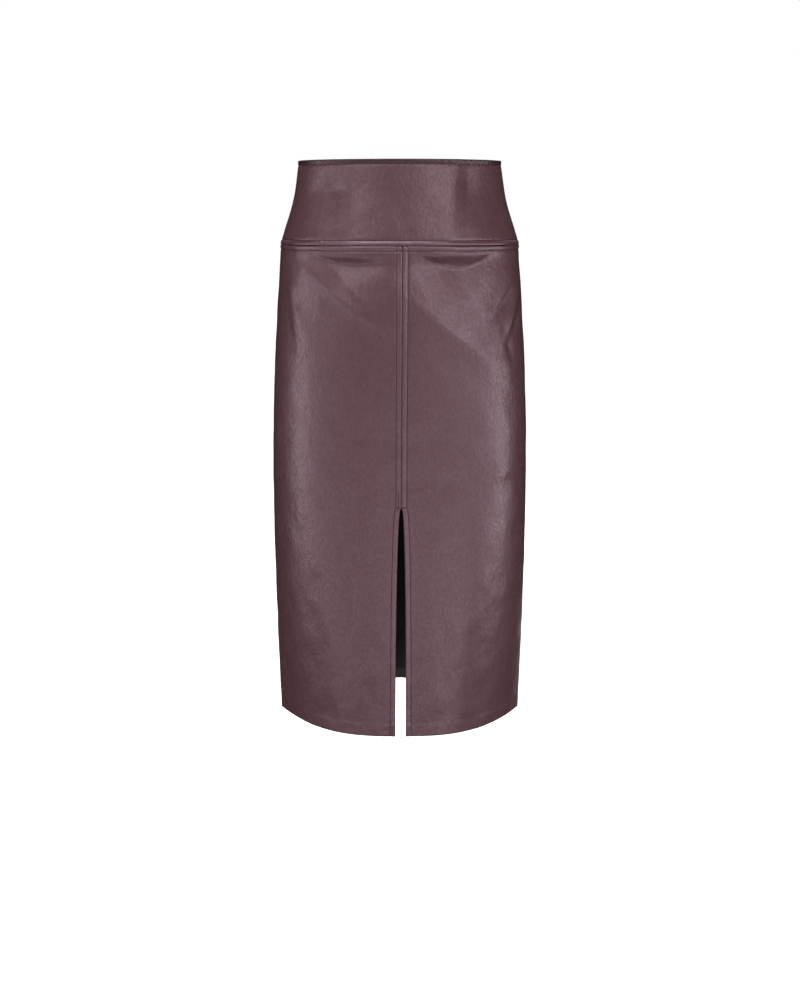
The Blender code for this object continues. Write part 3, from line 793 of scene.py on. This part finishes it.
def sewn_tree():
    """Geometry Nodes that set one stitch after another along a path's edges."""
    tree = bpy.data.node_groups.new("sewn_row", "GeometryNodeTree")
    kinds = {"Path": "Geometry", "Seed": "Int", "Thread": "Material"}
    for label in ("Path", "Pitch", "Shift", "Length", "Width", "Height", "Turn", "Unevenness", "Seed",
                  "Thread"):
        kind = kinds.get(label, "Float")
        tree.interface.new_socket(label, in_out="INPUT", socket_type=f"NodeSocket{kind}")
    tree.interface.new_socket("Stitches", in_out="OUTPUT", socket_type="NodeSocketGeometry")
    given = tree.nodes.new("NodeGroupInput").outputs

    curve = add(tree, "GeometryNodeMeshToCurve", Mesh=given["Path"])
    places = add(tree, "GeometryNodeResampleCurve", {"mode": "LENGTH"}, Curve=curve, Length=given["Pitch"])

    ball = add(tree, "GeometryNodeMeshUVSphere", Segments=6, Rings=4, Radius=0.5)
    upright = add(tree, "GeometryNodeTransform", Geometry=ball, Rotation=(0.0, math.pi / 2, 0.0))
    size = add(tree, "ShaderNodeCombineXYZ", X=given["Length"], Y=given["Width"], Z=given["Height"])
    shift = add(tree, "ShaderNodeCombineXYZ", X=given["Shift"])
    stitch = add(tree, "GeometryNodeTransform", Geometry=upright, Scale=size, Translation=shift)

    outward = add(tree, "GeometryNodeInputNamedAttribute", {"data_type": "FLOAT_VECTOR"}, "Attribute",
                  Name="out")
    along = add(tree, "FunctionNodeAlignRotationToVector", {"axis": "X"},
                Vector=add(tree, "GeometryNodeInputTangent"))
    facing = add(tree, "FunctionNodeAlignRotationToVector", {"axis": "Z", "pivot_axis": "X"},
                 Rotation=along, Vector=outward)
    uneven = add(tree, "FunctionNodeRandomValue", {"data_type": "FLOAT"}, "Value", Seed=given["Seed"],
                 Min=arithmetic("SUBTRACT", given["Turn"], given["Unevenness"]),
                 Max=arithmetic("ADD", given["Turn"], given["Unevenness"]))
    turned = add(tree, "FunctionNodeRotateRotation", {"rotation_space": "LOCAL"}, Rotation=facing,
                 Rotate_By=add(tree, "ShaderNodeCombineXYZ", Z=uneven))

    placed = add(tree, "GeometryNodeInstanceOnPoints", Points=places, Instance=stitch, Rotation=turned)
    real = add(tree, "GeometryNodeRealizeInstances", Geometry=placed)
    smooth = add(tree, "GeometryNodeSetShadeSmooth", Geometry=real)
    finish = add(tree, "GeometryNodeSetMaterial", Geometry=smooth, Material=given["Thread"])
    give(tree.nodes.new("NodeGroupOutput"), Stitches=finish)
    return tree


def make_sewing(name, tree, paths, thread, **sizes):
    """Stitches along paths, as one plain mesh."""
    points, edges, outs = [], [], []
    for path, out in paths:
        edges += [(len(points) + i, len(points) + i + 1) for i in range(len(path) - 1)]
        points += path.tolist()
        outs += out.tolist()
    mesh = bpy.data.meshes.new(f"{name}_path")
    mesh.from_pydata(points, edges, [])
    outward = mesh.attributes.new("out", "FLOAT_VECTOR", "POINT")
    outward.data.foreach_set("vector", np.array(outs, np.float32).ravel())
    path = put(f"{name}_path", mesh)
    modifier = path.modifiers.new("sewing", "NODES")
    modifier.node_group = tree
    values = {"Pitch": STITCH_PITCH, "Shift": 0.0, "Length": STITCH_LENGTH, "Width": THREAD,
              "Height": THREAD, "Turn": math.radians(4), "Unevenness": math.radians(3),
              "Thread": thread, **sizes}
    for socket in tree.interface.items_tree:
        if socket.in_out == "INPUT" and socket.name in values:
            modifier[socket.identifier] = values[socket.name]
    evaluated = path.evaluated_get(bpy.context.evaluated_depsgraph_get())
    plain = bpy.data.meshes.new_from_object(evaluated)
    plain.name = name
    bpy.data.objects.remove(path)
    return put(name, plain)


def level_row(side, z, face, near, far):
    """A sewn row at one height, between two arc lengths."""
    return seam_path(side, np.arange(min(near, far), max(near, far), LEVEL_STEP), z, face)


def upright_row(side, hand, edge, out, top, low):
    """A sewn row that runs down beside a panel's centre edge."""
    z = np.arange(top, low, -UPRIGHT_STEP)
    return seam_path(side, edge(hand, z) + hand * out, z, panel_face(side, hand, edge))


def make_all_sewing(tree, thread, hole_shadows):
    """Every stitched row with dark domes of painted shadow in each needle hole, and the bar tack over the
    slit's point.
    """
    under_top, over_seam, under_seam = TOP - STITCH_OUT, YOKE_SEAM + STITCH_OUT, YOKE_SEAM - STITCH_OUT
    front_top, front_seam = (side_length(FRONT, z) - ROW_END for z in (TOP, over_seam))
    rows = {
        "top_edge": [level_row(FRONT, under_top, yoke_face(FRONT), -front_top, front_top)],
        "yoke_seam": [level_row(FRONT, over_seam, yoke_face(FRONT), -front_seam, front_seam)],
        "centre_front": [],
        "centre_back": [],
    }
    for hand, _ in HANDS:
        for side, word, edge in SIDES:
            near = float(edge(hand, under_seam)) + hand * ROW_END
            far = hand * (side_length(side, under_seam) - ROW_END)
            rows["yoke_seam"].append(level_row(side, under_seam, panel_face(side, hand, edge), near, far))
            rows[f"centre_{word}"].append(upright_row(side, hand, edge, CENTRE_STITCH_OUT,
                                                      YOKE_SEAM - CENTRE_ROW_FROM_YOKE,
                                                      HEM + CENTRE_ROW_ABOVE_HEM))
        for name, z, side_z, start in (("top_edge", under_top, TOP, TOP_ROW_FROM_ZIP),
                                       ("yoke_seam", over_seam, over_seam, ROW_END)):
            near = float(zip_edge(hand, z)) + hand * start
            far = hand * (side_length(BACK, side_z) - ROW_END)
            rows[name].append(level_row(BACK, z, yoke_face(BACK), near, far))
    rows["centre_front"].append(upright_row(FRONT, RIGHT, front_edge, BACKSTITCH_OUT, BACKSTITCH_TOP,
                                            TACK_Z))

    for seed, (name, paths) in enumerate(rows.items(), start=2):
        yield make_sewing(f"{name}_stitching", tree, paths, thread, Seed=seed)
        # near-black domes between the stitches: painted shadow in each needle hole
        yield make_sewing(f"{name}_needle_hole_shadows", tree, paths, hole_shadows, Seed=seed,
                          Shift=STITCH_PITCH / 2, Length=HOLE, Width=HOLE, Height=HOLE_DOME)
    yield make_sewing("slit_bar_tack", tree, [tack_path()], thread, Pitch=TACK_PITCH,
                      Length=TACK_HEIGHT, Turn=math.radians(84), Seed=6)


def tack_path():
    """The bar tack's line, over both front panels."""
    across = front_drift(TACK_Z) + np.arange(-TACK_HALF, TACK_HALF, TACK_STEP)

    def over(along, z):
        left, right = (panel_face(FRONT, hand, front_edge)(along, z) for hand in (LEFT, RIGHT))
        return np.maximum(np.where(along > front_drift(TACK_Z), left, right), TACK_LOWEST) + TACK_LIFT
    return seam_path(FRONT, across, TACK_Z, over)


def make_top_stops(tree, metal):
    """The zip's top stops, which meet over the slider."""
    z = np.arange(STOPS_TOP, PULL_AXIS_Z + STOPS_ABOVE_PULL, -STOP_STEP)
    path = seam_path(BACK, 0.0, z, plain_face(BACK, INNER_LAYER + TAPE), STOP_SINK)
    return make_sewing("zip_top_stops", tree, [path], metal, Pitch=STOP_PITCH, Length=STOP_PITCH * 1.1,
                       Width=STOP_WIDTH, Height=STOP_THICK, Turn=0.0, Unevenness=0.0, Seed=8)


def make_teeth(tree, nylon):
    """The zip's two coils of teeth, on the inside of the tapes, clear of the slider."""
    paths = []
    inside = plain_face(BACK, INNER_LAYER + TAPE)
    over_slider, under_slider = PULL_AXIS_Z + SLIDER_REACH, PULL_AXIS_Z - SLIDER_REACH
    for hand, _ in HANDS:
        for top, low in ((TEETH_TOP, over_slider), (under_slider, ZIP_END)):
            z = np.arange(top, low, -TOOTH_STEP)
            paths.append(seam_path(BACK, zip_edge(hand, z) + hand * COIL_OUT, z, inside, TOOTH_SINK))
    return make_sewing("zip_teeth", tree, paths, nylon, Pitch=TOOTH_PITCH, Length=TOOTH_LENGTH,
                       Width=TOOTH_THICK, Height=TOOTH_THICK, Turn=math.radians(90), Unevenness=0.0, Seed=7)


# ---------------------------------------------------------------- finishes

def new_finish(name, color, roughness, **constants):
    """A Principled material with constant sockets; returns it with its tree and its shader."""
    material = bpy.data.materials.new(name)
    material.use_nodes = True
    surface = material.node_tree.nodes["Principled BSDF"]
    give(surface, Base_Color=(*color, 1.0), Roughness=roughness, **constants)
    return material, material.node_tree, surface


def place_of(tree):
    """Object coordinates."""
    return add(tree, "ShaderNodeTexCoord", out="Object")


def chart_of(tree):
    """The flat chart of a piece of cloth."""
    return add(tree, "ShaderNodeUVMap", {"uv_map": "chart"})


def noise(vector, scale, detail, settings=None, out="Fac", **more):
    """A Noise texture's factor."""
    return add(vector.id_data, "ShaderNodeTexNoise", settings, out, Vector=vector, Scale=scale,
               Detail=detail, **more)


def stripes(vector, direction, scale, distortion):
    """A Wave texture's factor."""
    return add(vector.id_data, "ShaderNodeTexWave", {"bands_direction": direction}, "Fac", Vector=vector,
               Scale=scale, Distortion=distortion)


def ranged(value, start, end, first, last, shape="LINEAR"):
    """A value whose run from start to end becomes one from first to last."""
    return add(value.id_data, "ShaderNodeMapRange", {"interpolation_type": shape}, Value=value,
               From_Min=start, From_Max=end, To_Min=first, To_Max=last)


def laid_over(kind, amount, color, other):
    """One colour laid over another."""
    return add(color.id_data, "ShaderNodeMixRGB", {"blend_type": kind}, Fac=amount, Color1=color,
               Color2=other)


def bumped(height, strength, distance, invert=False, **under):
    """A normal bent by a height, over one that is bent already."""
    return add(height.id_data, "ShaderNodeBump", {"invert": invert}, Height=height, Strength=strength,
               Distance=distance, **under)


def blend(factor, dark, light):
    """A blend between two colours."""
    ramp = factor.id_data.nodes.new("ShaderNodeValToRGB")
    for element, color, position in zip(ramp.color_ramp.elements, (dark, light), (0.3, 0.7)):
        element.color = (*color, 1.0)
        element.position = position
    give(ramp, Fac=factor)
    return ramp.outputs["Color"]


def leather_finish():
    """Smooth semi-gloss leather: pebbled grain, a mottled gloss, fine creases, and painted shade in the
    seams' grooves and over the band above the top stitching.
    """
    material, tree, surface = new_finish("oxblood_leather", (0.035, 0.0150, 0.0172), 0.34,
                                         Specular_Tint=(1.0, 0.76, 0.89, 1.0))
    place, chart = place_of(tree), chart_of(tree)
    drawn = add(tree, "ShaderNodeMapping", Vector=chart, Scale=(1.0, 0.6, 1.0), Rotation=(0.0, 0.0, 0.15))
    cloud = noise(place, 120.0, 5.0, Roughness=0.7)
    mottle = noise(drawn, 300.0, 5.0, Roughness=0.7)
    pebbles = add(tree, "ShaderNodeTexVoronoi", {"feature": "SMOOTH_F1"}, "Distance", Vector=place,
                  Scale=800.0, Smoothness=0.5)
    creases = noise(drawn, 80.0, 3.0, {"noise_type": "RIDGED_MULTIFRACTAL"}, Roughness=0.55,
                    Distortion=0.8)

    # a web of fine crinkles that comes and goes in patches
    wobble = noise(drawn, 70.0, 3.0, out="Color")
    cells = add(tree, "ShaderNodeTexVoronoi", {"feature": "DISTANCE_TO_EDGE"}, "Distance",
                Vector=laid_over("ADD", 0.03, drawn, wobble), Scale=120.0)
    lines = ranged(cells, 0.0, 0.14, 1.0, 0.0, "SMOOTHSTEP")
    crinkled = ranged(noise(chart, 22.0, 2.0), 0.48, 0.68, 0.1, 1.0)
    crinkles = laid_over("MULTIPLY", 1.0, lines, crinkled)

    # painted shade: darker and duller in the seams' grooves and over the band above the top stitching;
    # glossier on the stitched lips
    dye_and_painted_shade = blend(cloud, (0.0310, 0.0130, 0.0148), (0.0390, 0.0170, 0.0196))
    edge = add(tree, "ShaderNodeAttribute", {"attribute_name": "edge_distance"}, "Fac")
    height = add(tree, "ShaderNodeSeparateXYZ", out="Y", Vector=chart)
    # painted seam shade: darker and duller within 1.2 mm of a sewn edge
    painted_seam_shade = ranged(edge, 0.0, 0.0012, 0.2, 1.0, "SMOOTHSTEP")
    # painted shade over the top band: half as bright and half as glossy above the top stitching
    painted_top_band_shade = ranged(height, -0.0070, -0.0056, 1.0, 0.5)
    for factor in (painted_seam_shade, painted_top_band_shade):
        dye_and_painted_shade = laid_over("MULTIPLY", 1.0, dye_and_painted_shade, factor)
    gloss = ranged(mottle, 0.3, 0.7, 0.38, 0.62)
    above_hem = ranged(height, HEM + 0.010, HEM + 0.014, 1.0, 1.3)
    lipped = ranged(edge, 0.0052, 0.0066, above_hem, 1.0)
    for factor in (painted_seam_shade, painted_top_band_shade, lipped):
        gloss = arithmetic("MULTIPLY", gloss, factor)

    # relief, from the hide's broad swell to its pebbles; the mottle is softer low down
    handled = ranged(height, -0.46, -0.34, 0.24, 0.45)
    swell = bumped(noise(drawn, 75.0, 2.0), 1.0, 0.0006)
    low = bumped(mottle, handled, 0.0005, Normal=swell)
    pinched = bumped(crinkles, 0.3, 0.0003, invert=True, Normal=low)
    mid = bumped(creases, 0.45, 0.0004, invert=True, Normal=pinched)
    fine = bumped(pebbles, 0.3, 0.00025, Normal=mid)
    give(surface, Base_Color=dye_and_painted_shade, Roughness=ranged(mottle, 0.3, 0.7, 0.40, 0.30),
         Specular_IOR_Level=gloss, Normal=fine)
    return material


def shaded_turnings_finish():
    """The same leather turned up inside the skirt, with painted shade: darker, greyer and duller than the
    leather that is seen.
    """
    material, tree, surface = new_finish("turned_leather_painted_shade", (0.020, 0.0120, 0.0130), 0.6,
                                         Specular_IOR_Level=0.2)
    nap = noise(chart_of(tree), 600.0, 5.0, Roughness=0.7)
    give(surface, Base_Color=blend(nap, (0.0160, 0.0095, 0.0105), (0.0240, 0.0145, 0.0155)),
         Normal=bumped(nap, 0.5, 0.0003))
    return material


def lining_finish():
    """Plain black woven lining with a slight sheen."""
    material, tree, surface = new_finish("black_lining", (0.006, 0.006, 0.0065), 0.62,
                                         Specular_IOR_Level=0.22, Sheen_Weight=0.03, Sheen_Roughness=0.4)
    chart = chart_of(tree)
    weave = arithmetic("MULTIPLY", *(stripes(chart, axis, 420.0, 0.6) for axis in "XY"))
    cloud = noise(chart, 30.0, 3.0)
    give(surface, Base_Color=blend(cloud, (0.0050, 0.0050, 0.0054), (0.0075, 0.0075, 0.0080)),
         Normal=bumped(weave, 0.25, 0.0001))
    return material


def tape_finish():
    """Knitted zip tape."""
    material, tree, surface = new_finish("zip_tape_knit", (0.045, 0.018, 0.021), 0.85)
    ribs = stripes(chart_of(tree), "X", 300.0, 1.0)
    give(surface, Base_Color=blend(ribs, (0.036, 0.014, 0.017), (0.050, 0.020, 0.024)),
         Normal=bumped(ribs, 0.5, 0.0002))
    return material


def metal_finish():
    """Zip metal lacquered to match the leather."""
    material, tree, surface = new_finish("lacquered_zip_metal", (0.075, 0.030, 0.036), 0.28,
                                         Metallic=0.55, Coat_Weight=0.4, Coat_Roughness=0.12)
    cloud = noise(place_of(tree), 900.0, 4.0)
    give(surface, Base_Color=blend(cloud, (0.070, 0.027, 0.033), (0.082, 0.034, 0.040)),
         Roughness=ranged(cloud, 0.3, 0.7, 0.22, 0.36))
    return material


def thread_finish(name, dark, light):
    """Twisted matt thread."""
    material, tree, surface = new_finish(name, dark, 0.8, Specular_IOR_Level=0.12)
    twist = noise(place_of(tree), 2500.0, 2.0)
    give(surface, Base_Color=blend(twist, dark, light), Normal=bumped(twist, 0.5, 0.0001))
    return material


# ---------------------------------------------------------------- studio

def make_camera():
    """The camera, a little below the waist and tipped down."""
    data = bpy.data.cameras.new("camera")
    data.sensor_width = SENSOR
    data.lens = CAMERA_LENS
    camera = put("camera", data)
    camera.location = CAMERA_PLACE
    camera.rotation_euler = (math.radians(90 + CAMERA_PITCH), 0.0, 0.0)
    bpy.context.scene.camera = camera


def make_floor():
    """A plain pale floor, well below the hem."""
    mesh = bpy.data.meshes.new("studio_floor")
    turns = [2 * math.pi * i / FLOOR_SIDES for i in range(FLOOR_SIDES)]
    ring = [(FLOOR_RADIUS * math.cos(turn), FLOOR_RADIUS * math.sin(turn), FLOOR_Z) for turn in turns]
    mesh.from_pydata(ring, [], [tuple(range(FLOOR_SIDES))])
    material, _, _ = new_finish("pale_floor", (0.92, 0.92, 0.92), 0.9,
                                Emission_Color=(1.0, 1.0, 1.0, 1.0), Emission_Strength=0.25)
    mesh.materials.append(material)
    floor = put("studio_floor", mesh)
    floor.visible_glossy = False


# Soft boxes on a ring round the skirt: turn and height in degrees, size in metres, brightness in W/m2 sr
Softbox = namedtuple("Softbox", "name azimuth elevation width height brightness")
SOFTBOXES = tuple(Softbox(*row) for row in (
    ("right_strip", -81, 0, 0.60, 1.00, 5.7),
    ("left_strip", 85, -6, 0.55, 0.78, 6.1),
    ("right_band", -60, 17, 1.40, 0.45, 3.1),
    ("left_band_front", 25, 12, 1.00, 0.50, 2.0),
    ("left_band", 50, 12, 0.92, 0.50, 8.4),
    ("left_band_side", 70, -1, 0.60, 0.36, 6.0),
    ("upper_left", 25, 31, 0.90, 0.60, 6.3),
    ("upper_right", -30, 34, 0.90, 0.90, 4.0),
    ("overhead", -20, 68, 1.60, 1.20, 8.0),
    ("yoke_side_left", 66, 23, 0.60, 0.35, 0.3),
    ("floor_bounce_right", -40, -22, 1.50, 0.40, 3.1),
    ("floor_bounce_front", 0, -22, 1.10, 0.45, 4.1),
    ("floor_bounce_left", 34, -22, 1.10, 0.40, 5.5),
    ("floor_side_right", -74, -16, 1.40, 0.38, 3.0),
    ("floor_side_left", 75, -17, 1.50, 0.42, 2.6),
    ("front_fill", 0, -5, 2.20, 0.80, 0.93),
    ("fill_right", -46, -4, 1.20, 0.80, 0.93),
    ("fill_left", 46, -6, 1.20, 0.60, 1.0),
    ("back_upper_right", -152, 40, 1.30, 0.80, 2.6),
    ("back_upper_left", 150, 40, 1.30, 0.80, 3.4),
    ("back_floor_bounce", 176, -30, 2.20, 0.40, 2.4),
    ("back_fill", 180, 4, 1.20, 1.00, 0.35),
))
LIGHT_RING = 2.2
AIM_Z = -0.35


def make_lights():
    """Soft boxes round the skirt and an even white surround."""
    for box in SOFTBOXES:
        data = bpy.data.lights.new(box.name, "AREA")
        data.shape = "RECTANGLE"
        data.size, data.size_y = box.width, box.height
        data.energy = box.brightness * math.pi * box.width * box.height
        light = put(box.name, data)
        turn, tilt = math.radians(box.azimuth), math.radians(box.elevation)
        light.location = (LIGHT_RING * math.sin(turn) * math.cos(tilt),
                          -LIGHT_RING * math.cos(turn) * math.cos(tilt),
                          AIM_Z + LIGHT_RING * math.sin(tilt))
        light.rotation_euler = (math.pi / 2 - tilt, 0.0, turn)
        light.visible_camera = False
    world = bpy.data.worlds.new("white_surround")
    world.use_nodes = True
    give(world.node_tree.nodes["Background"], Color=(1.0, 1.0, 1.0, 1.0), Strength=1.0)
    bpy.context.scene.world = world
    world.cycles_visibility.glossy = False
    bpy.context.scene.view_settings.view_transform = "Standard"


# ---------------------------------------------------------------- the whole skirt

def cloth_size(piece):
    """A shell's flat width, length and area, measured on its chart and its outer face."""
    mesh = piece.data
    chart = np.empty(len(mesh.loops) * 2, np.float32)
    mesh.uv_layers["chart"].data.foreach_get("uv", chart)
    chart = chart.reshape(-1, 2)
    width, length = chart.max(axis=0) - chart.min(axis=0)
    areas = np.empty(len(mesh.polygons), np.float32)
    mesh.polygons.foreach_get("area", areas)
    return float(width), float(length), float(areas.sum()) / 2


def declare_cloth(node, piece):
    """Measure a piece of cloth's flat width, length and area; nothing is kept of it."""
    width, length, area = cloth_size(piece)
    min(area, width * length)


def main():
    """Dress the frame."""
    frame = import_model()
    leather = Cloth("leather", LEATHER, leather_finish())
    # a darker, greyer, duller copy of the leather: painted shade for the leather turned up inside the skirt
    turned = Cloth("leather", LEATHER, shaded_turnings_finish())
    lining = Cloth("cloth", LINING, lining_finish())
    tape = Cloth("cloth", TAPE, tape_finish())
    metal = metal_finish()
    thread = thread_finish("oxblood_thread", (0.036, 0.0130, 0.0160), (0.050, 0.0190, 0.0230))
    # near-black: painted shadow in each needle hole
    hole_shadows = thread_finish("needle_hole_shadow", (0.0015, 0.0006, 0.0008), (0.0030, 0.0012, 0.0015))
    nylon = thread_finish("zip_nylon", (0.030, 0.012, 0.014), (0.050, 0.020, 0.024))

    make_camera()
    make_floor()
    make_lights()

    tapes = dict(make_tapes(tape))
    for pieces, slot in ((make_yokes(leather), "leather"), (make_panels(leather), "leather"),
                         (make_turnings(turned), "leather"), (make_linings(lining), "lining"),
                         (tapes.items(), "zip_tape")):
        for node, piece in pieces:
            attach(piece, "skirt")
            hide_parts(node)
            if node not in tapes:
                declare_cloth(node, piece)

    tree = sewn_tree()
    sewn = [(piece, "leather") for piece in make_all_sewing(tree, thread, hole_shadows)]
    sewn += [(make_teeth(tree, nylon), "zip_tape"), (make_top_stops(tree, metal), "zip_metal")]
    for piece, slot in sewn:
        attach(piece, "skirt")
    for node in ("zip_slider", "zip_pull"):
        for slot in frame["nodes"][node].material_slots:
            slot.material = metal


main()
